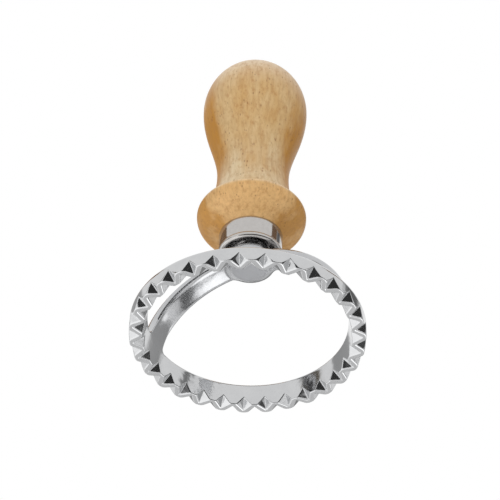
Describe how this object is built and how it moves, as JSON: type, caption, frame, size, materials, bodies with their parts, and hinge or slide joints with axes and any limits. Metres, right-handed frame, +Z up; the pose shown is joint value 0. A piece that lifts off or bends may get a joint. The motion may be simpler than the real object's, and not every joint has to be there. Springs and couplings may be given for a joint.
{
  "type": "ravioli stamp",
  "caption": "Hand stamp for round filled pasta: a cast ring with a zigzag cutting rim, an arch over it, a metal ferrule and a turned wooden handle.",
  "frame": {"origin": "centre of the cutting rim, in the plane of the rim that the stamp stands on", "axes": "+Z up the handle's axis, X along the arch"},
  "size_m": [0.0638, 0.0638, 0.1078],
  "materials": {
    "cast_metal": "polished casting, satin inside the hub",
    "ferrule_metal": "smooth drawn and plated",
    "stud_steel": "plain turned steel",
    "turned_wood": "clear lacquer, semi-gloss"
  },
  "bodies": {
    "root": {"cutter": "cast_metal", "tang_stud": "stud_steel", "ferrule": "ferrule_metal", "handle": "turned_wood"}
  },
  "joints": []
}
